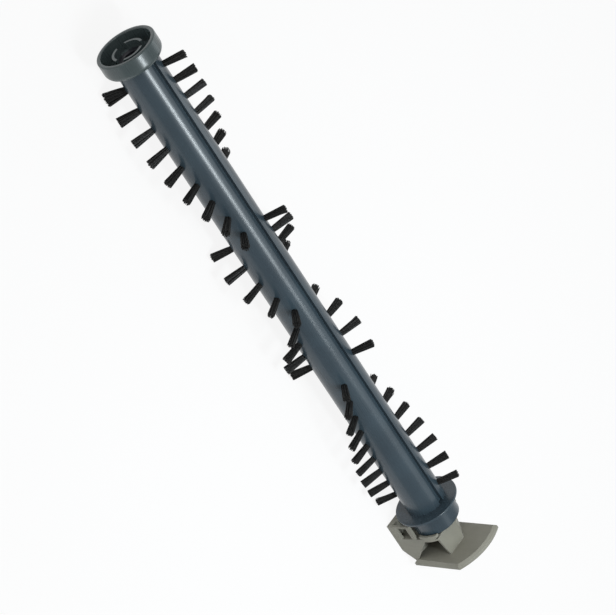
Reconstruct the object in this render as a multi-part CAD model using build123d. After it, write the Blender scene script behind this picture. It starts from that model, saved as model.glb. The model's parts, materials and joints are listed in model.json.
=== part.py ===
from build123d import *

import math
import os

# Vacuum agitator brush, in millimetres. The roller lies along X. The origin is on its axis, at the mouth of
# the pilot bore in the drive cup. +X runs to the end cap, and +Z is up as the brush lies on a table.

# Roller core
core_radius = 11.0
core_length = 301.9
groove_width = 3.2
groove_depth = 2.0
groove_turn = 5.0  # degrees from the top towards +Y

# Drive cup
cup_radius = 15.4
cup_length = 6.6
cup_shoulder = 3.4
cup_wall = 2.1
cup_bore_depth = 8.0
rim_rounding = 0.7
dog_ring_radius = 8.2
dog_ring_recess = 2.0
dog_slot_depth = 4.0
dog_slot_width = 4.5
dog_count = 3
dog_turn = 42.0  # degrees from the top to the first slot
pilot_bush_radius = 6.9
pilot_bore_radius = 4.0
pilot_bush_length = 8.0

# Spigots that join the end mouldings to the core
collar_radius = 8.0
collar_length = 5.0
spigot_radius = 4.0
spigot_length = 12.0
spigot_flat = 3.2  # axis to the flat that stops it turning
spigot_clearance = 0.05

# Bristle tufts, set out from the cup's collar, from the core's middle and from the core's end
tuft_hole_radius = 1.6
tuft_hole_wall = 0.55  # core left between a hole and the spigot's socket
tuft_clearance = 0.05
tuft_tip_radius = 2.3
tuft_reach = 22.45  # roller axis to the tips
tuft_sweep = 46.5  # degrees to each side of the row's middle line
chevron_step = 0.25  # share of the sweep from one chevron tuft to the next
outer_count = 9
drive_pitch_a = 11.35
drive_pitch_b = 11.5
drive_gap_a = 2.0
drive_gap_b = 5.9
middle_pitch_a = 10.25
middle_pitch_b = 10.3
middle_offset_a = 1.5
middle_offset_b = 4.35
middle_count_a = 10
middle_count_b = 9
idler_pitch_a = 10.35
idler_pitch_b = 10.3
idler_last_a = 7.8
idler_last_b = 11.7

# Anchor wire at the bottom of each tuft hole
anchor_thickness = 0.4
anchor_height = 1.6
anchor_clearance = 0.05

# Hub end
flange_radius = 17.4
flange_length = 1.3
flange_edge = 0.35
hub_radius = 12.9
hub_length = 12.2
hub_edge = 0.6

# Axle pin and ball bearing
pin_radius = 3.0
pin_grip = 10.6  # length pressed into the hub end
pin_edge = 0.5
bearing_radius = 6.5
bearing_width = 5.0
ball_radius = 1.0
ball_count = 9
ball_pitch_radius = 4.75
ball_clearance = 0.04
race_land = 0.6  # ball circle to the shoulder of either race
cage_thickness = 0.8
cage_back = 0.5  # web behind the ball pockets
cage_lip = 0.2  # how far the pockets reach past the ball centres
shield_thickness = 0.25
shield_inset = 0.1
shield_seat = 0.3
shield_clearance = 0.1
spacer_wall = 1.1
felt_radius = 10.0
felt_bore_radius = 4.6
felt_thickness = 2.0
felt_stand_out = 0.2
washer_radius = 4.6
washer_thickness = 0.8
washer_clearance = 0.05
clip_radius = 5.0
clip_thickness = 0.7
clip_groove_depth = 0.6
clip_opening = 4.0
clip_play = 0.05
pin_tail = 1.6  # pin past the clip

# End cap; its near side is -Y and its far side is +Y
cap_gap = 0.6  # hub's end face to the ring wall
cradle_gap = 3.3  # flange's back to the cradle's front
cradle_room = 0.7  # hub to the cradle's rails
ring_wall = 1.5
rim_length = 2.1  # how far the ring wall's near rim reaches forward beside the hub
rim_drop = 1.0  # axis down to the rim's lower end
edge_slot_width = 0.9
edge_slot_depth = 2.4
edge_slot_height = 7.6  # where the slot in the ring wall's near edge starts; it runs to the top
bearing_recess = 1.0  # bearing's front behind the ring wall's front
boss_wall = 1.4
boss_lip = 1.4  # stop behind the bearing
clip_room = 0.6  # clip to the stop's bore
pin_room = 1.0  # free space past the pin's end
foot_drop = 17.7  # axis to the underside
foot_spread = 2.8  # how much wider the foot is than the ring wall, each side
foot_length = 18.5
cradle_wall = 1.4
wall_height = 1.0  # where the side walls leave the ring wall
rail_drop = 3.6  # axis down to the rail beside the hub
rail_height = 2.5
post_width = 1.2
window_sill = 5.0  # foot's underside to the window
front_lip_height = 3.0
gusset_drop = 12.0  # axis down to the side walls' top in the plate
far_narrowing = 6.6  # how much nearer the axis the far side wall is in the plate
cap_depth = 14.0  # ring wall's back to the plate
shelf_height = 9.0
shelf_inset = 0.3  # shelf's near edge to the ring wall's corner
shelf_ridge = 3.7  # where the flat top turns down to the far side
shelf_far = 11.0
shelf_far_height = 1.0
shelf_thickness = 1.6
shelf_taper = 0.77  # section in the plate over the section in the ring wall
web_thickness = 1.8
plate_thickness = 3.0
plate_bevel = 1.4
plate_bottom = 13.0
plate_near_bottom = 18.7
plate_near_top = 15.8
plate_near_height = 16.8
plate_far_bottom = 11.8
plate_far_top = 15.3
plate_far_height = 21.0
plate_crown_height = 23.3

# Stations along X
rim_x = -(dog_ring_recess + dog_slot_depth)
cup_floor_x = rim_x + cup_bore_depth
core_start = rim_x + cup_length + cup_shoulder
core_end = core_start + core_length
core_middle = core_start + core_length / 2
flange_end = core_end + flange_length
hub_end_x = flange_end + hub_length
ring_front = hub_end_x + cap_gap
ring_back = ring_front + ring_wall
bearing_front = ring_front + bearing_recess
bearing_middle = bearing_front + bearing_width / 2
bearing_back = bearing_front + bearing_width
felt_front = hub_end_x + felt_stand_out
felt_seat = felt_front - felt_thickness
clip_front = bearing_back + washer_thickness + clip_play
pin_end = clip_front + clip_thickness + clip_play + pin_tail
cradle_front = flange_end + cradle_gap
foot_end = cradle_front + foot_length
ring_middle = ring_front + ring_wall / 2
plate_front = ring_back + cap_depth
plate_middle = plate_front + plate_thickness / 2
plate_back = plate_front + plate_thickness

reach = 4 * foot_drop  # larger than any section of the brush
same_place = 0.01  # edges this close along X count as at one station
cup_bore_radius = cup_radius - cup_wall
tuft_root_radius = tuft_hole_radius - tuft_clearance
hole_floor = spigot_radius + spigot_clearance + tuft_hole_wall
boss_lip_radius = clip_radius + clip_room
ring_radius = hub_radius + cradle_room + cradle_wall
ring_corner = math.sqrt(ring_radius**2 - shelf_height**2)  # axis out to the ring wall's top corner
foot_half_width = ring_radius + foot_spread


def turned(*points):
    """Solid of revolution about X from (x, radius) points."""
    return revolve(make_face(Polyline(*points, close=True)), Axis.X)


def rod(radius, x_from, x_to):
    """Round bar on the roller's axis."""
    return turned((x_from, 0), (x_to, 0), (x_to, radius), (x_from, radius))


def ring(inner, outer, x_from, x_to):
    """Round sleeve on the roller's axis."""
    return turned((x_from, inner), (x_to, inner), (x_to, outer), (x_from, outer))


def along_x(points, x_from, x_to):
    """Bar along X with a section given by (y, z) points."""
    section = Plane.YZ.offset(x_from) * make_face(Polyline(*points, close=True))
    return extrude(section, amount=x_to - x_from)


def across_y(points, half_width):
    """Bar along Y with a section given by (x, z) points, centred on the axis."""
    section = Plane.XZ * make_face(Polyline(*points, close=True))
    return extrude(section, amount=half_width, both=True)


def block(x_from, x_to, y_from, y_to, z_from, z_to):
    """Rectangular block between two corners."""
    size = (x_to - x_from, y_to - y_from, z_to - z_from)
    middle = ((x_from + x_to) / 2, (y_from + y_to) / 2, (z_from + z_to) / 2)
    return Pos(*middle) * Box(*size)


def at_angle(x, turn):
    """Place on the axis whose own Z points outward, at an angle from the top towards +Y."""
    return Location((x, 0, 0), (-turn, 0, 0))


def circles_at(solid, x):
    """The round edges of a solid that lie at one station along X."""
    circles = solid.edges().filter_by(GeomType.CIRCLE)
    return circles.filter_by_position(Axis.X, x - same_place, x + same_place)


def keyed_spigot(radius, flat, x_from, x_to):
    """Round spigot with one flat on its underside."""
    return rod(radius, x_from, x_to) - block(x_from, x_to, -radius, radius, -radius, -flat)


def row_turns(count, kind):
    """Angles of one row's tufts: a helix one way, a helix the other way, or a chevron."""
    shares = {
        "down": [i / (count - 1) for i in range(count)],
        "up": [1 - i / (count - 1) for i in range(count)],
        "chevron": [min(1.0, chevron_step * min(i, count - 1 - i)) for i in range(count)],
    }
    return [90 - tuft_sweep + 2 * tuft_sweep * share for share in shares[kind]]


def row_places(first, pitch, count, kind, side):
    """Places of one row's tufts; the side turns the whole row about the axis."""
    turns = row_turns(count, kind)
    return [at_angle(first + i * pitch, turns[i] + side) for i in range(count)]


def tuft_rows():
    """Every row of tufts by name, for the two opposite sides a and b."""
    rows = {}
    sides = {
        "a": (0, drive_gap_a, drive_pitch_a, middle_offset_a, middle_pitch_a, middle_count_a,
              idler_last_a, idler_pitch_a),
        "b": (180, drive_gap_b, drive_pitch_b, middle_offset_b, middle_pitch_b, middle_count_b,
              idler_last_b, idler_pitch_b),
    }
    for name, values in sides.items():
        side, drive_gap, drive_pitch, offset, middle_pitch, middle_count, idler_last, idler_pitch = values
        drive_first = core_start + collar_length + drive_gap
        middle_first = core_middle + offset - middle_pitch * (middle_count - 1) / 2
        idler_first = core_end - idler_last - idler_pitch * (outer_count - 1)
        rows["drive_" + name] = row_places(drive_first, drive_pitch, outer_count, "down", side)
        rows["middle_" + name] = row_places(middle_first, middle_pitch, middle_count, "chevron", side)
        rows["idler_" + name] = row_places(idler_first, idler_pitch, outer_count, "up", side)
    return rows


def make_tuft():
    """One tuft standing along Z: a straight root, a flared brush and a slot for its anchor wire."""
    section = Polyline(
        (0, hole_floor),
        (tuft_root_radius, hole_floor),
        (tuft_root_radius, core_radius),
        (tuft_tip_radius, tuft_reach),
        (0, tuft_reach),
        close=True,
    )
    body = revolve(Plane.XZ * make_face(section), Axis.Z)
    slot_half = anchor_thickness / 2 + anchor_clearance
    slot_top = hole_floor + anchor_height + anchor_clearance
    return body - block(-slot_half, slot_half, -tuft_hole_radius, tuft_hole_radius, hole_floor, slot_top)


def make_anchor():
    """One flat anchor wire standing on the floor of a tuft hole."""
    half = anchor_thickness / 2
    top = hole_floor + anchor_height
    wide = math.sqrt(tuft_hole_radius**2 - half**2) - anchor_clearance
    return block(-half, half, -wide, wide, hole_floor, top)


def make_core(rows):
    """The core: a grooved bar with a stepped socket in each end and a hole for every tuft."""
    core = rod(core_radius, core_start, core_end)
    groove_floor = core_radius - groove_depth
    half = groove_width / 2
    groove = block(core_start, core_end, -half, half, groove_floor, core_radius + groove_depth)
    cuts = [Rot(-groove_turn, 0, 0) * groove, Rot(180 - groove_turn, 0, 0) * groove]
    socket = spigot_radius + spigot_clearance
    flat = spigot_flat + spigot_clearance
    deep = spigot_length + spigot_clearance
    collar_end = core_start + collar_length + spigot_clearance
    cuts.append(rod(collar_radius + spigot_clearance, core_start, collar_end))
    cuts.append(keyed_spigot(socket, flat, collar_end, collar_end + deep))
    cuts.append(keyed_spigot(socket, flat, core_end - deep, core_end))
    hole = Pos(0, 0, hole_floor + core_radius / 2) * Cylinder(tuft_hole_radius, core_radius)
    for places in rows.values():
        cuts += [place * hole for place in places]
    return core - cuts


def make_drive_cup():
    """The drive cup: a round-shouldered cup with a slotted dog ring, and the stepped spigot behind it."""
    shoulder_x = rim_x + cup_length
    collar_end = core_start + collar_length
    low = cup_radius - cup_shoulder
    bend = cup_shoulder * math.sqrt(0.5)
    outline = Curve() + [
        Polyline(
            (core_start, low),
            (core_start, 0),
            (rim_x, 0),
            (rim_x, cup_radius),
            (shoulder_x, cup_radius),
        ),
        ThreePointArc((shoulder_x, cup_radius), (shoulder_x + bend, low + bend), (core_start, low)),
    ]
    cup = revolve(make_face(outline), Axis.X)
    cup += rod(collar_radius, core_start, collar_end)
    cup += keyed_spigot(spigot_radius, spigot_flat, collar_end, collar_end + spigot_length)
    cup -= rod(cup_bore_radius, rim_x, rim_x + dog_ring_recess)
    cup -= ring(dog_ring_radius, cup_bore_radius, rim_x, cup_floor_x)
    cup -= rod(pilot_bush_radius, rim_x, pilot_bush_length)
    slot = block(rim_x + dog_ring_recess, 0, -dog_slot_width / 2, dog_slot_width / 2, 0, cup_bore_radius)
    for i in range(dog_count):
        cup -= Rot(-dog_turn - i * 360 / dog_count, 0, 0) * slot
    return fillet(circles_at(cup, rim_x), rim_rounding)


def make_pilot_bush():
    """The bush pressed into the dog ring."""
    return ring(pilot_bore_radius, pilot_bush_radius, 0, pilot_bush_length)


def make_hub_end():
    """The hub end: a thin flange, a plain hub with a felt recess and a pin hole, and its spigot."""
    flange = rod(flange_radius, core_end, flange_end)
    flange = fillet(flange.edges().filter_by(GeomType.CIRCLE), flange_edge)
    hub = rod(hub_radius, core_end, hub_end_x)
    hub = chamfer(circles_at(hub, hub_end_x), hub_edge) + flange
    hub += keyed_spigot(spigot_radius, spigot_flat, core_end - spigot_length, core_end)
    hub -= rod(felt_radius, felt_seat, hub_end_x)
    return hub - rod(pin_radius, felt_seat - pin_grip, felt_seat)


def make_axle_pin():
    """The axle pin, chamfered at its free end and grooved for the clip."""
    pin = rod(pin_radius, felt_seat - pin_grip, pin_end)
    pin = chamfer(circles_at(pin, pin_end), pin_edge)
    groove_from = clip_front - clip_play
    groove_to = clip_front + clip_thickness + clip_play
    return pin - ring(pin_radius - clip_groove_depth, pin_radius + clip_groove_depth, groove_from, groove_to)


def make_retaining_clip():
    """The open clip in the pin's groove."""
    bore = pin_radius - clip_groove_depth + clip_play
    clip = ring(bore, clip_radius, clip_front, clip_front + clip_thickness)
    half = clip_opening / 2
    return clip - block(clip_front, clip_front + clip_thickness, -clip_radius, 0, -half, half)


def make_felt_ring():
    """The felt ring in the hub's end, close to the bearing."""
    return ring(felt_bore_radius, felt_radius, felt_seat, felt_front)


def make_spacer():
    """The sleeve between the hub and the bearing's inner race."""
    return ring(pin_radius, pin_radius + spacer_wall, felt_seat, bearing_front)


def make_thrust_washer():
    """The washer between the inner race and the clip."""
    return ring(pin_radius + washer_clearance, washer_radius, bearing_back, bearing_back + washer_thickness)


def ball_track():
    """The torus that the balls run in."""
    path = Plane.XZ * Pos(bearing_middle, ball_pitch_radius) * Circle(ball_radius + ball_clearance)
    return revolve(path, Axis.X)


def ball_places():
    """The centres of the balls round the bearing."""
    turns = [i * 360 / ball_count for i in range(ball_count)]
    return [at_angle(bearing_middle, turn) * Pos(0, 0, ball_pitch_radius) for turn in turns]


def make_inner_race():
    """The bearing's inner race."""
    return ring(pin_radius, ball_pitch_radius - race_land, bearing_front, bearing_back) - ball_track()


def make_outer_race():
    """The bearing's outer race, stepped for the shields."""
    land = ball_pitch_radius + race_land
    race = ring(land, bearing_radius, bearing_front, bearing_back) - ball_track()
    step = shield_inset + shield_thickness
    race -= ring(land, land + shield_seat, bearing_front, bearing_front + step)
    return race - ring(land, land + shield_seat, bearing_back - step, bearing_back)


def make_shields():
    """The two shields seated in the outer race."""
    inner = ball_pitch_radius - race_land + shield_clearance
    outer = ball_pitch_radius + race_land + shield_seat
    front = bearing_front + shield_inset
    back = bearing_back - shield_inset
    return [
        ring(inner, outer, front, front + shield_thickness),
        ring(inner, outer, back - shield_thickness, back),
    ]


def make_balls():
    """The bearing's balls."""
    return [place * Sphere(ball_radius) for place in ball_places()]


def make_cage():
    """The crown cage: a ring beside the balls with an open pocket round each."""
    half = cage_thickness / 2
    pocket = ball_radius + ball_clearance
    front = bearing_middle - cage_lip
    back = bearing_middle + pocket + cage_back
    cage = ring(ball_pitch_radius - half, ball_pitch_radius + half, front, back)
    return cage - [place * Sphere(pocket) for place in ball_places()]


def cradle_half_width(z):
    """Half the cradle's outer width at a height; its side walls spread from the ring wall to the foot."""
    top_half = math.sqrt(ring_radius**2 - wall_height**2)
    share = (wall_height - z) / (wall_height + foot_drop)
    return top_half + share * (foot_half_width - top_half)


def trough(x_from, x_to, top, inset, far_shift):
    """Solid in the shape of the cradle, inset by a wall; its far side comes nearer the axis along X."""
    floor = inset - foot_drop
    top_half = cradle_half_width(top) - inset
    floor_half = cradle_half_width(floor) - inset
    sections = []
    for x, shift in ((x_from, 0), (x_to, far_shift)):
        near = [(-top_half, top), (-floor_half, floor)]
        points = near + [(floor_half - shift, floor), (top_half - shift, top)]
        sections.append(Plane.YZ.offset(x) * make_face(Polyline(*points, close=True)))
    return loft(sections)


def make_cradle_front():
    """The cradle under the hub: a trough with a window in each side and a lip across its front."""
    top = -rail_drop
    cradle = trough(cradle_front, ring_middle, top, 0, 0)
    cradle -= trough(cradle_front, ring_middle, top, cradle_wall, 0)
    window_low = window_sill - foot_drop
    window_high = top - rail_height
    cradle -= block(cradle_front + post_width, ring_front, -reach, reach, window_low, window_high)
    lip = trough(cradle_front, cradle_front + cradle_wall, top, 0, 0)
    lip_top = front_lip_height - foot_drop
    return cradle + (lip & block(cradle_front, ring_front, -reach, reach, -foot_drop, lip_top))


def make_cradle_back():
    """The cradle behind the ring wall: side walls that fall and a floor that rises towards the plate."""
    top = wall_height
    filled = trough(ring_middle, plate_middle, top, 0, far_narrowing)
    walls = filled - trough(ring_middle, plate_middle, top, cradle_wall, far_narrowing)
    low, floor = -foot_drop, cradle_wall - foot_drop
    slope_end = plate_bevel / 2 - plate_bottom
    slope = [
        (foot_end, low),
        (plate_middle, slope_end),
        (plate_middle, slope_end + cradle_wall),
        (foot_end, floor),
    ]
    side = [
        (ring_middle, top),
        (ring_middle, low),
        (foot_end, low),
        (plate_middle, slope_end),
        (plate_middle, -gusset_drop),
        (ring_back, top),
    ]
    web_low = cradle_wall / 2
    web = [
        (ring_middle, low + web_low),
        (foot_end, low + web_low),
        (plate_middle, slope_end + web_low),
        (plate_middle, shelf_height * shelf_taper - shelf_thickness / 2),
        (ring_middle, shelf_height - shelf_thickness / 2),
    ]
    walls = (walls & across_y(side, reach)) + (filled & across_y(slope, reach))
    return walls + across_y(web, web_thickness / 2)


def make_ring_wall():
    """The wall behind the hub: flat on top, sloping on the far side, with a slotted rim on the near side."""
    wall_half = cradle_half_width(wall_height)
    bend = (math.asin(shelf_height / ring_radius) + math.asin(wall_height / ring_radius)) / 2
    near_middle = (-ring_radius * math.cos(bend), ring_radius * math.sin(bend))
    outline = Curve() + [
        Polyline(
            (-wall_half, wall_height),
            (-foot_half_width, -foot_drop),
            (foot_half_width, -foot_drop),
            (wall_half, wall_height),
            (shelf_ridge, shelf_height),
            (-ring_corner, shelf_height),
        ),
        ThreePointArc((-ring_corner, shelf_height), near_middle, (-wall_half, wall_height)),
    ]
    wall = extrude(Plane.YZ.offset(ring_front) * make_face(outline), amount=ring_wall)
    rim_front = ring_front - rim_length
    rim = ring(ring_radius - cradle_wall, ring_radius, rim_front, ring_middle)
    rim &= block(rim_front, ring_middle, -reach, 0, -rim_drop, shelf_height)
    half = edge_slot_width / 2
    slot = ring(ring_radius - edge_slot_depth, reach, ring_front - half, ring_front + half)
    slot &= block(rim_front, ring_back, -reach, 0, edge_slot_height, reach)
    return wall + rim - slot


def make_shelf():
    """The shelf from the ring wall to the plate: flat, sloping on the far side, smaller at the plate."""
    near = ring_corner - shelf_inset
    points = [
        (-near, shelf_height),
        (shelf_ridge, shelf_height),
        (shelf_far, shelf_far_height),
        (shelf_far, shelf_far_height - shelf_thickness),
        (shelf_ridge, shelf_height - shelf_thickness),
        (-near, shelf_height - shelf_thickness),
    ]
    sections = []
    for x, size in ((ring_middle, 1), (plate_middle, shelf_taper)):
        section = make_face(Polyline(*[(y * size, z * size) for y, z in points], close=True))
        sections.append(Plane.YZ.offset(x) * section)
    return loft(sections)


def make_plate():
    """The end plate, with a bowed top and a bevel round its inner face."""
    outline = Curve() + [
        Polyline(
            (-plate_near_top, plate_near_height),
            (-plate_near_bottom, -plate_bottom),
            (plate_far_bottom, -plate_bottom),
            (plate_far_top, plate_far_height),
        ),
        ThreePointArc(
            (plate_far_top, plate_far_height),
            (0, plate_crown_height),
            (-plate_near_top, plate_near_height),
        ),
    ]
    plate = extrude(Plane.YZ.offset(plate_front) * make_face(outline), amount=plate_thickness)
    inner_face = plate.faces().sort_by(Axis.X)[0]
    return chamfer(inner_face.edges(), plate_bevel)


def make_end_cap():
    """The end cap, one moulding: cradle, ring wall, bearing boss, shelf, centre web and plate."""
    boss = rod(bearing_radius + boss_wall, ring_front, bearing_back + boss_lip)
    cap = make_cradle_front() + make_cradle_back() + make_ring_wall()
    cap += boss + make_shelf() + make_plate()
    cap -= rod(bearing_radius, ring_front, bearing_back)
    return cap - rod(boss_lip_radius, bearing_back, pin_end + pin_room)


def build():
    """Every node of the brush by name, each a list of solids."""
    rows = tuft_rows()
    tuft = make_tuft()
    anchor = make_anchor()
    nodes = {
        "roller_core": [make_core(rows)],
        "drive_cup": [make_drive_cup()],
        "pilot_bush": [make_pilot_bush()],
        "hub_end": [make_hub_end()],
        "axle_pin": [make_axle_pin()],
        "felt_ring": [make_felt_ring()],
        "spacer_sleeve": [make_spacer()],
        "thrust_washer": [make_thrust_washer()],
        "retaining_clip": [make_retaining_clip()],
        "bearing_inner_race": [make_inner_race()],
        "bearing_outer_race": [make_outer_race()],
        "bearing_shields": make_shields(),
        "bearing_balls": make_balls(),
        "bearing_cage": [make_cage()],
        "end_cap": [make_end_cap()],
    }
    for name, places in rows.items():
        nodes["tufts_" + name] = [place * tuft for place in places]
        nodes["anchors_" + name] = [place * anchor for place in places]
    return nodes


os.makedirs("parts", exist_ok=True)
for node, pieces in build().items():
    solids = [solid for piece in pieces for solid in piece.solids()]
    shape = solids[0] if len(solids) == 1 else Compound(children=solids)
    export_step(shape, os.path.join("parts", node + ".step"))
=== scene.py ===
"""Vacuum agitator brush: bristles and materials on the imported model, with floor, light and camera."""
import json
import math
import random

import bpy
import numpy as np
from mathutils import Matrix, Vector


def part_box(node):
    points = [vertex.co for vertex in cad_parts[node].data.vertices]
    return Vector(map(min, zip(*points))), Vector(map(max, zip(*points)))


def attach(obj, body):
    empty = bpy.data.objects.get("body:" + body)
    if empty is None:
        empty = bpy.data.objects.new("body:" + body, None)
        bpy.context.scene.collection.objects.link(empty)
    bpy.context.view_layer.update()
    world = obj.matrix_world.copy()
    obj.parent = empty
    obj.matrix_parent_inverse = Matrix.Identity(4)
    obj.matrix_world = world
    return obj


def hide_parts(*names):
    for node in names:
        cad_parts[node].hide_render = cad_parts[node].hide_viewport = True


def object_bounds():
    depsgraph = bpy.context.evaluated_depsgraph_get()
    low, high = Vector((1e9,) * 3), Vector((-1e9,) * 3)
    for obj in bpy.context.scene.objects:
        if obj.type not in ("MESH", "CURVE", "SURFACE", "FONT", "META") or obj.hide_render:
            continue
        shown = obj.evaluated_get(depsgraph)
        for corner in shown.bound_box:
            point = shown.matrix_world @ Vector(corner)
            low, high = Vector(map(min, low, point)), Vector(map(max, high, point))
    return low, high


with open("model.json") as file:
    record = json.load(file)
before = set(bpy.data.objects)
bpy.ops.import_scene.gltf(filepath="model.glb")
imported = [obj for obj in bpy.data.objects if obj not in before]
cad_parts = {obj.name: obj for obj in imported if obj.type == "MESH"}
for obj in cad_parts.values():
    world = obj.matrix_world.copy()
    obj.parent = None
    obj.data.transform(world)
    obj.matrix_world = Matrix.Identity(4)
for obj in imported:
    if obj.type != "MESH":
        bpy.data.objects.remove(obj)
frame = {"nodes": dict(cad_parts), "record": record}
cad_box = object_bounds()

# Bristles, in metres
bristle_count = 84  # in one tuft
bristle_radius = 0.00017
bristle_sides = 6
bristle_steps = 3
bristle_bury = 0.0018  # root below the core's surface
bristle_trim = 0.0005  # most that a cut tip falls short of the tuft's reach
root_spread = 0.00142  # radius of a bundle at its root
spread_bow = 0.8  # power by which a bundle opens along its length; under 1 it opens early
turn_jitter = 0.2  # radians to either side of a bristle's place in its bundle
flare_range = (0.84, 1.12)  # tip width of a bundle along the roller, as a share of its solid's
worn_row = "tufts_drive_b"  # the row that has fanned out most, its first tuft above all
worn_range = (1.02, 1.3)
worn_first = 1.85
stray_share = 0.05
stray_lean = 0.0011  # most that a stray tip leans along the roller
tuft_gap = 0.003  # tufts of one row are further apart than this
weld_digits = 7  # decimals of a metre to which points of a solid are the same point
golden_turn = math.pi * (3 - math.sqrt(5))
bristle_seed = 41

# Noises, in cells per metre, with the bump that they give, in metres
clouds = {"scale": 55, "detail": 4}
satin_grain = {"scale": 2600, "detail": 2, "strength": 0.008, "depth": 0.0001}
matte_grain = {"scale": 2200, "detail": 2, "strength": 0.25, "depth": 0.00015}
along_roller = {"scale": 420, "detail": 3, "stretch": (0.06, 1, 1), "strength": 0.02, "depth": 0.0003}
down_plate = {"scale": 520, "detail": 3, "stretch": (1, 1, 0.06), "strength": 0.08, "depth": 0.0003}
nylon_strands = {"scale": 1900, "detail": 1}
turned_rings = {"scale": 900, "detail": 2, "stretch": (6, 1, 1), "strength": 0.15, "depth": 0.00002}
steel_patches = {"scale": 300, "detail": 3}
felt_fibres = {"scale": 2600, "detail": 6, "stretch": (1, 1, 2), "strength": 0.9, "depth": 0.0004}
soft_levels = (0.3, 0.7)  # noise levels at which one tone or gloss gives way to the other
fibre_levels = (0.35, 0.65)

# Finishes by material slot: darker and paler tone, least and most roughness
# The last share in each finish is how much paler the edges are made: partly wear, partly a painted
# highlight.
plastics = {
    "roller_plastic": {
        "dark": (0.028, 0.043, 0.055), "light": (0.035, 0.0545, 0.069), "rough": (0.26, 0.29),
        "grain": satin_grain, "streak": along_roller, "edge_wear_and_highlight": 0},
    "cup_plastic": {
        "dark": (0.046, 0.062, 0.064), "light": (0.058, 0.077, 0.079), "rough": (0.26, 0.29),
        "grain": satin_grain, "streak": along_roller, "edge_wear_and_highlight": 0},
    "cap_plastic": {
        "dark": (0.188, 0.181, 0.148), "light": (0.235, 0.226, 0.185), "rough": (0.55, 0.68),
        "grain": matte_grain, "streak": down_plate, "edge_wear_and_highlight": 0.3},
    "bush_plastic": {
        "dark": (0.012, 0.013, 0.018), "light": (0.02, 0.021, 0.027), "rough": (0.35, 0.5),
        "grain": satin_grain, "streak": along_roller, "edge_wear_and_highlight": 0},
    "washer_plastic": {
        "dark": (0.52, 0.5, 0.43), "light": (0.64, 0.62, 0.54), "rough": (0.4, 0.55),
        "grain": satin_grain, "streak": along_roller, "edge_wear_and_highlight": 0.2},
}
steels = {
    "steel": {"dark": (0.5, 0.51, 0.53), "light": (0.6, 0.61, 0.63), "rough": (0.22, 0.36)},
    "spring_steel": {"dark": (0.09, 0.09, 0.1), "light": (0.15, 0.15, 0.16), "rough": (0.3, 0.45)},
    "bearing_steel": {"dark": (0.58, 0.59, 0.61), "light": (0.66, 0.67, 0.69), "rough": (0.14, 0.24)},
    "ball_steel": {"dark": (0.72, 0.73, 0.75), "light": (0.78, 0.79, 0.81), "rough": (0.05, 0.1)},
}
nylon = {"dark": (0.006, 0.006, 0.006), "light": (0.02, 0.02, 0.019), "rough": (0.42, 0.62), "shine": 0.35}
felt = {"dark": (0.11, 0.105, 0.095), "light": (0.26, 0.25, 0.22), "rough": 0.95, "sheen": 0.3}

# Rounded edges, and a paler edge colour that is partly wear and partly a painted highlight, of the plastics
# that have it
edge_radius = 0.0004
edge_samples = 4
edge_turn = 0.8  # agreement of the rounded and the flat normal at which an edge is fully paled, by wear and a painted highlight
# Pale tone mixed into edges: partly wear, partly a painted highlight.
edge_wear_and_highlight_tone = (0.5, 0.5, 0.47)

# Camera, found by fitting the photograph's outlines
camera_place = Vector((-0.6351, -0.6579, 1.1013))
camera_target = Vector((0.1697, 0.0049, 0.0))
camera_roll = math.radians(98.0)
camera_lens = 179.4  # millimetres, as the sensor
camera_sensor = 36.0

# Floor and surroundings
floor_half = 4.0
floor_tone = (0.75, 0.75, 0.75)
floor_rough = 0.9
floor_shadow = 0.12  # share of true shading that shows in the floor
dark_side = (0, -0.5, 0.866)  # direction in which the surroundings are darkest
dark_tone = (0.39, 0.39, 0.39)
pale_tone = (0.95, 0.95, 0.95)
pale_level, dark_level = -0.4, 0.0  # share of the dark direction in the directions of either tone

# Lamps: width and height in metres, power in watts
cool_tone = (0.88, 0.96, 1.0)
neutral_tone = (0.95, 0.95, 0.95)
lamps = {
    "near_strip": {
        "place": (0.25, -0.07, 0.46), "target": (0.25, 0, 0),
        "size": (0.17, 0.065), "power": 1.3, "tone": cool_tone},
    "far_strip": {
        "place": (0.39, -0.055, 0.46), "target": (0.39, 0, 0),
        "size": (0.11, 0.065), "power": 0.25, "tone": cool_tone},
    "long_strip": {
        "place": (0.5, 0.03, 0.46), "target": (0.5, 0, 0),
        "size": (0.9, 0.18), "power": 0.5, "tone": cool_tone},
    "back_panel": {
        "place": (0.37, 0.8, 0.3), "target": (0.05, 0, 0),
        "size": (0.4, 0.3), "power": 0.5, "tone": cool_tone},
    "front": {
        "place": (-0.95, -0.15, 0.85), "target": (0.16, 0, 0),
        "size": (0.5, 0.5), "power": 3.0, "tone": neutral_tone},
    "side": {
        "place": (-0.2, -0.6, 0.25), "target": (0, 0, 0),
        "size": (0.4, 0.4), "power": 0.45, "tone": neutral_tone},
}


def new_material(name):
    """A node material; gives the material, its tree and its shader."""
    material = bpy.data.materials.new(name)
    material.use_nodes = True
    tree = material.node_tree
    return material, tree, tree.nodes["Principled BSDF"]


def object_noise(tree, look):
    """Noise fixed to the object; a stretch over 1 makes the cells shorter along an axis."""
    place = tree.nodes.new("ShaderNodeTexCoord")
    mapping = tree.nodes.new("ShaderNodeMapping")
    mapping.inputs["Scale"].default_value = look.get("stretch", (1, 1, 1))
    noise = tree.nodes.new("ShaderNodeTexNoise")
    noise.inputs["Scale"].default_value = look["scale"]
    noise.inputs["Detail"].default_value = look["detail"]
    tree.links.new(place.outputs["Object"], mapping.inputs["Vector"])
    tree.links.new(mapping.outputs["Vector"], noise.inputs["Vector"])
    return noise.outputs["Fac"]


def ramp(tree, factor, levels, low_colour, high_colour):
    """Colour that runs from one tone to another between two levels of a factor."""
    node = tree.nodes.new("ShaderNodeValToRGB")
    for end, level, colour in zip(node.color_ramp.elements, levels, (low_colour, high_colour)):
        end.position = level
        end.color = (*colour, 1)
    tree.links.new(factor, node.inputs["Fac"])
    return node.outputs["Color"]


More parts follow.
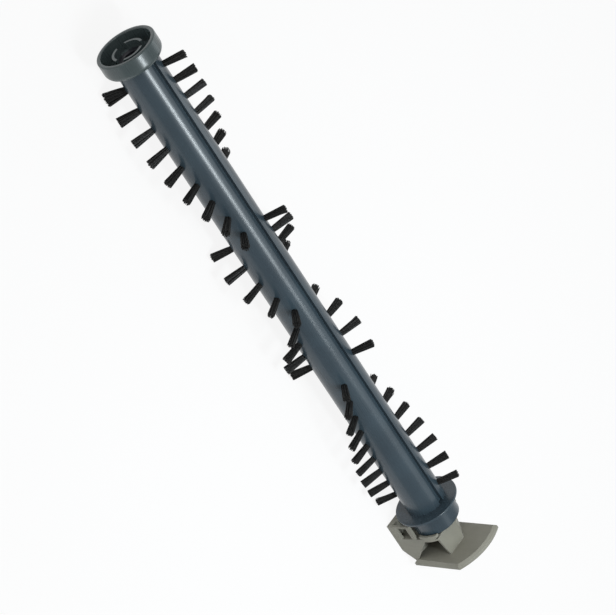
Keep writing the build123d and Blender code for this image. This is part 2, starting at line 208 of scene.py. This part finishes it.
def spread(tree, factor, levels, values):
    """Value that runs over a range between two levels of a factor."""
    node = tree.nodes.new("ShaderNodeMapRange")
    node.inputs["From Min"].default_value, node.inputs["From Max"].default_value = levels
    node.inputs["To Min"].default_value, node.inputs["To Max"].default_value = values
    tree.links.new(factor, node.inputs["Value"])
    return node.outputs["Result"]


def bump(tree, height, look, under=None):
    """Bump of a noise's strength and depth, on top of another normal if one is given."""
    node = tree.nodes.new("ShaderNodeBump")
    node.inputs["Strength"].default_value = look["strength"]
    node.inputs["Distance"].default_value = look["depth"]
    tree.links.new(height, node.inputs["Height"])
    if under is not None:
        tree.links.new(under, node.inputs["Normal"])
    return node.outputs["Normal"]


def rounded_edges(tree):
    """Normal that is rounded at sharp edges, and a factor that rises towards those edges."""
    rounded = tree.nodes.new("ShaderNodeBevel")
    rounded.samples = edge_samples
    rounded.inputs["Radius"].default_value = edge_radius
    flat = tree.nodes.new("ShaderNodeNewGeometry")
    agree = tree.nodes.new("ShaderNodeVectorMath")
    agree.operation = "DOT_PRODUCT"
    tree.links.new(rounded.outputs["Normal"], agree.inputs[0])
    tree.links.new(flat.outputs["Normal"], agree.inputs[1])
    return rounded.outputs["Normal"], spread(tree, agree.outputs["Value"], (1, edge_turn), (0, 1))


def wear_and_highlight_edges(tree, colour, edge, share):
    """Colour that is paler at edges, by a share: partly wear, partly a painted highlight."""
    worn_and_highlighted_colour = tree.nodes.new("ShaderNodeMix")
    worn_and_highlighted_colour.data_type = "RGBA"
    tree.links.new(spread(tree, edge, (0, 1), (0, share)), worn_and_highlighted_colour.inputs["Factor"])
    tree.links.new(colour, worn_and_highlighted_colour.inputs["A"])
    worn_and_highlighted_colour.inputs["B"].default_value = (*edge_wear_and_highlight_tone, 1)
    return worn_and_highlighted_colour.outputs["Result"]


def moulded_plastic(name, dark, light, rough, grain, streak, edge_wear_and_highlight):
    """Plastic with cloudy tone, uneven gloss, fine grain, faint flow lines along one axis and edges made
    paler by wear and a painted highlight.
    """
    material, tree, shader = new_material(name)
    fine = object_noise(tree, grain)
    flow = object_noise(tree, streak)
    colour = ramp(tree, object_noise(tree, clouds), soft_levels, dark, light)
    surface = None
    # Paler edges: partly wear, partly a painted highlight.
    if edge_wear_and_highlight:
        surface, edge = rounded_edges(tree)
        colour = wear_and_highlight_edges(tree, colour, edge, edge_wear_and_highlight)
    surface = bump(tree, flow, streak, surface)
    tree.links.new(colour, shader.inputs["Base Color"])
    tree.links.new(spread(tree, flow, soft_levels, rough), shader.inputs["Roughness"])
    tree.links.new(bump(tree, fine, grain, surface), shader.inputs["Normal"])
    return material


def nylon_bristle(name, dark, light, rough, shine):
    """Black nylon whose tone and gloss differ a little from bristle to bristle."""
    material, tree, shader = new_material(name)
    strands = object_noise(tree, nylon_strands)
    tree.links.new(ramp(tree, strands, fibre_levels, dark, light), shader.inputs["Base Color"])
    tree.links.new(spread(tree, strands, soft_levels, rough), shader.inputs["Roughness"])
    shader.inputs["Specular IOR Level"].default_value = shine
    return material


def turned_steel(name, dark, light, rough):
    """Steel turned about the roller's axis: fine rings and uneven gloss."""
    material, tree, shader = new_material(name)
    rings = object_noise(tree, turned_rings)
    patches = object_noise(tree, steel_patches)
    tree.links.new(ramp(tree, patches, soft_levels, dark, light), shader.inputs["Base Color"])
    tree.links.new(spread(tree, rings, soft_levels, rough), shader.inputs["Roughness"])
    tree.links.new(bump(tree, rings, turned_rings), shader.inputs["Normal"])
    shader.inputs["Metallic"].default_value = 1.0
    return material


def pressed_felt(name, dark, light, rough, sheen):
    """Grey felt: matted fibres in tone and bump."""
    material, tree, shader = new_material(name)
    fibres = object_noise(tree, felt_fibres)
    tree.links.new(ramp(tree, fibres, fibre_levels, dark, light), shader.inputs["Base Color"])
    tree.links.new(bump(tree, fibres, felt_fibres), shader.inputs["Normal"])
    shader.inputs["Roughness"].default_value = rough
    shader.inputs["Sheen Weight"].default_value = sheen
    return material


def dress_nodes():
    """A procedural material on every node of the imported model, by the record's material slots."""
    looks = {slot: moulded_plastic(slot, **finish) for slot, finish in plastics.items()}
    looks.update({slot: turned_steel(slot, **finish) for slot, finish in steels.items()})
    looks["bristle"] = nylon_bristle("bristle_nylon", **nylon)
    looks["felt"] = pressed_felt("pressed_felt", **felt)
    for part in frame["record"]["subparts"]:
        mesh = frame["nodes"][part["node"]].data
        mesh.materials.clear()
        mesh.materials.append(looks[part["material_slot"]])
    return looks


def tufts_of(node):
    """Place on the axis, outward direction, reach and tip radius of each tuft in a node of tufts."""
    points = np.array([vertex.co for vertex in frame["nodes"][node].data.vertices])
    points = np.unique(points.round(weld_digits), axis=0)
    breaks = np.flatnonzero(np.diff(points[:, 0]) > tuft_gap) + 1
    found = []
    for group in np.split(points, breaks):
        low, high = group[:, 0].min(), group[:, 0].max()
        outward = Vector((0, *group[:, 1:].mean(axis=0))).normalized()
        reach = (group @ np.array(outward)).max()
        found.append((Vector(((low + high) / 2, 0, 0)), outward, reach, (high - low) / 2))
    return found


def tip_flare(node, number, chance):
    """Tip width of a tuft, by its row and its number in the row."""
    flare = chance.uniform(*(worn_range if node == worn_row else flare_range))
    return worn_first if node == worn_row and number == 0 else flare


def bristle_paths(tuft, flare, core_radius, chance):
    """Centre lines of one tuft's bristles, packed in a round hole and opening towards a flat cut tip."""
    place, outward, reach, tip_radius = tuft
    along = Vector((1, 0, 0))
    across = outward.cross(along)
    start = core_radius - bristle_bury
    along_tip = flare * tip_radius - bristle_radius
    across_tip = min(flare, 1) * tip_radius - bristle_radius
    for i in range(bristle_count):
        share = math.sqrt((i + 0.5) / bristle_count)
        turn = i * golden_turn + chance.uniform(-turn_jitter, turn_jitter)
        to_x, to_side = along * math.cos(turn) * share, across * math.sin(turn) * share
        stray = chance.uniform(-stray_lean, stray_lean) if chance.random() < stray_share else 0
        end = reach - chance.random() ** 2 * bristle_trim
        path = []
        for step in range(bristle_steps + 1):
            t = step / bristle_steps
            opened = t**spread_bow
            point = place + outward * (start + (end - start) * t) + along * stray * t**2
            point += to_x * (root_spread + (along_tip - root_spread) * opened)
            path.append(point + to_side * (root_spread + (across_tip - root_spread) * opened))
        yield path, along, across


def tube(path, along, across, points, faces):
    """Adds one closed round tube along a path to a mesh's points and faces."""
    first = len(points)
    turns = [2 * math.pi * k / bristle_sides for k in range(bristle_sides)]
    for centre in path:
        for turn in turns:
            points.append(centre + (along * math.cos(turn) + across * math.sin(turn)) * bristle_radius)
    for step in range(len(path) - 1):
        low = first + step * bristle_sides
        for k in range(bristle_sides):
            n = (k + 1) % bristle_sides
            faces.append((low + n, low + k, low + bristle_sides + k, low + bristle_sides + n))
    last = first + (len(path) - 1) * bristle_sides
    faces.append([first + k for k in range(bristle_sides)])
    faces.append([last + k for k in reversed(range(bristle_sides))])


def add_object(name, data):
    """A new object in the scene."""
    item = bpy.data.objects.new(name, data)
    bpy.context.scene.collection.objects.link(item)
    return item


def grow_bristles(material):
    """A bundle of bristles in place of every solid tuft, one piece for each node of tufts."""
    core_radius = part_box("roller_core")[1].y
    for row, node in enumerate(sorted(name for name in frame["nodes"] if name.startswith("tufts_"))):
        chance = random.Random(bristle_seed + row)
        points, faces = [], []
        for number, tuft in enumerate(tufts_of(node)):
            flare = tip_flare(node, number, chance)
            for path, along, across in bristle_paths(tuft, flare, core_radius, chance):
                tube(path, along, across, points, faces)
        mesh = bpy.data.meshes.new(node.replace("tufts", "bristles"))
        mesh.from_pydata(points, [], faces)
        mesh.materials.append(material)
        piece = add_object(mesh.name, mesh)
        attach(piece, "roller")
        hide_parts(node)


def camera_sees(tree):
    """Factor that is 1 for what the camera sees directly, in a mirror or through glass."""
    path = tree.nodes.new("ShaderNodeLightPath")
    total = path.outputs["Is Camera Ray"]
    for name in ("Is Glossy Ray", "Is Transmission Ray"):
        add = tree.nodes.new("ShaderNodeMath")
        add.use_clamp = True
        tree.links.new(total, add.inputs[0])
        tree.links.new(path.outputs[name], add.inputs[1])
        total = add.outputs["Value"]
    return total


def floor_white():
    """Matte white that the camera sees as nearly shadowless."""
    material, tree, shader = new_material("floor_white")
    shader.inputs["Base Color"].default_value = (*floor_tone, 1)
    shader.inputs["Roughness"].default_value = floor_rough
    glow = tree.nodes.new("ShaderNodeEmission")
    mix = tree.nodes.new("ShaderNodeMixShader")
    seen = spread(tree, camera_sees(tree), (0, 1), (0, 1 - floor_shadow))
    tree.links.new(seen, mix.inputs["Fac"])
    tree.links.new(shader.outputs["BSDF"], mix.inputs[1])
    tree.links.new(glow.outputs["Emission"], mix.inputs[2])
    tree.links.new(mix.outputs["Shader"], tree.nodes["Material Output"].inputs["Surface"])
    return material


def make_floor():
    """A wide white floor under the brush that keeps a light shadow."""
    low = cad_box[0][2]
    sides = [(-1, -1), (1, -1), (1, 1), (-1, 1)]
    mesh = bpy.data.meshes.new("floor")
    mesh.from_pydata([(x * floor_half, y * floor_half, low) for x, y in sides], [], [(0, 1, 2, 3)])
    mesh.materials.append(floor_white())
    floor = add_object("floor", mesh)


def aim(place, target):
    """Placement of a lamp or camera that looks from one point at another."""
    turn = (target - place).to_track_quat("-Z", "Y")
    return Matrix.Translation(place) @ turn.to_matrix().to_4x4()


def make_lamp(name, place, target, size, power, tone):
    """A soft rectangular lamp."""
    lamp = bpy.data.lights.new(name, "AREA")
    lamp.shape = "RECTANGLE"
    lamp.size, lamp.size_y = size
    lamp.energy = power
    lamp.color = tone
    add_object(name, lamp).matrix_world = aim(Vector(place), Vector(target))


def make_light():
    """A studio that is pale low down behind the brush and darker elsewhere, with the lamps in it."""
    world = bpy.data.worlds.new("surroundings")
    world.use_nodes = True
    tree = world.node_tree
    place = tree.nodes.new("ShaderNodeTexCoord")
    facing = tree.nodes.new("ShaderNodeVectorMath")
    facing.operation = "DOT_PRODUCT"
    facing.inputs[1].default_value = dark_side
    tree.links.new(place.outputs["Generated"], facing.inputs[0])
    level = spread(tree, facing.outputs["Value"], (pale_level, dark_level), (0, 1))
    tone = ramp(tree, level, (0, 1), pale_tone, dark_tone)
    tree.links.new(tone, tree.nodes["Background"].inputs["Color"])
    bpy.context.scene.world = world
    for name, look in lamps.items():
        make_lamp(name, **look)


def make_camera():
    """The camera at the photograph's viewing angle, rolled as the photograph is."""
    camera = bpy.data.cameras.new("camera")
    camera.sensor_width = camera_sensor
    camera.lens = camera_lens
    holder = add_object("camera", camera)
    holder.matrix_world = aim(camera_place, camera_target) @ Matrix.Rotation(camera_roll, 4, "Z")
    bpy.context.scene.camera = holder


looks = dress_nodes()
grow_bristles(looks["bristle"])
make_floor()
make_light()
make_camera()
bpy.context.scene.view_settings.view_transform = "Standard"
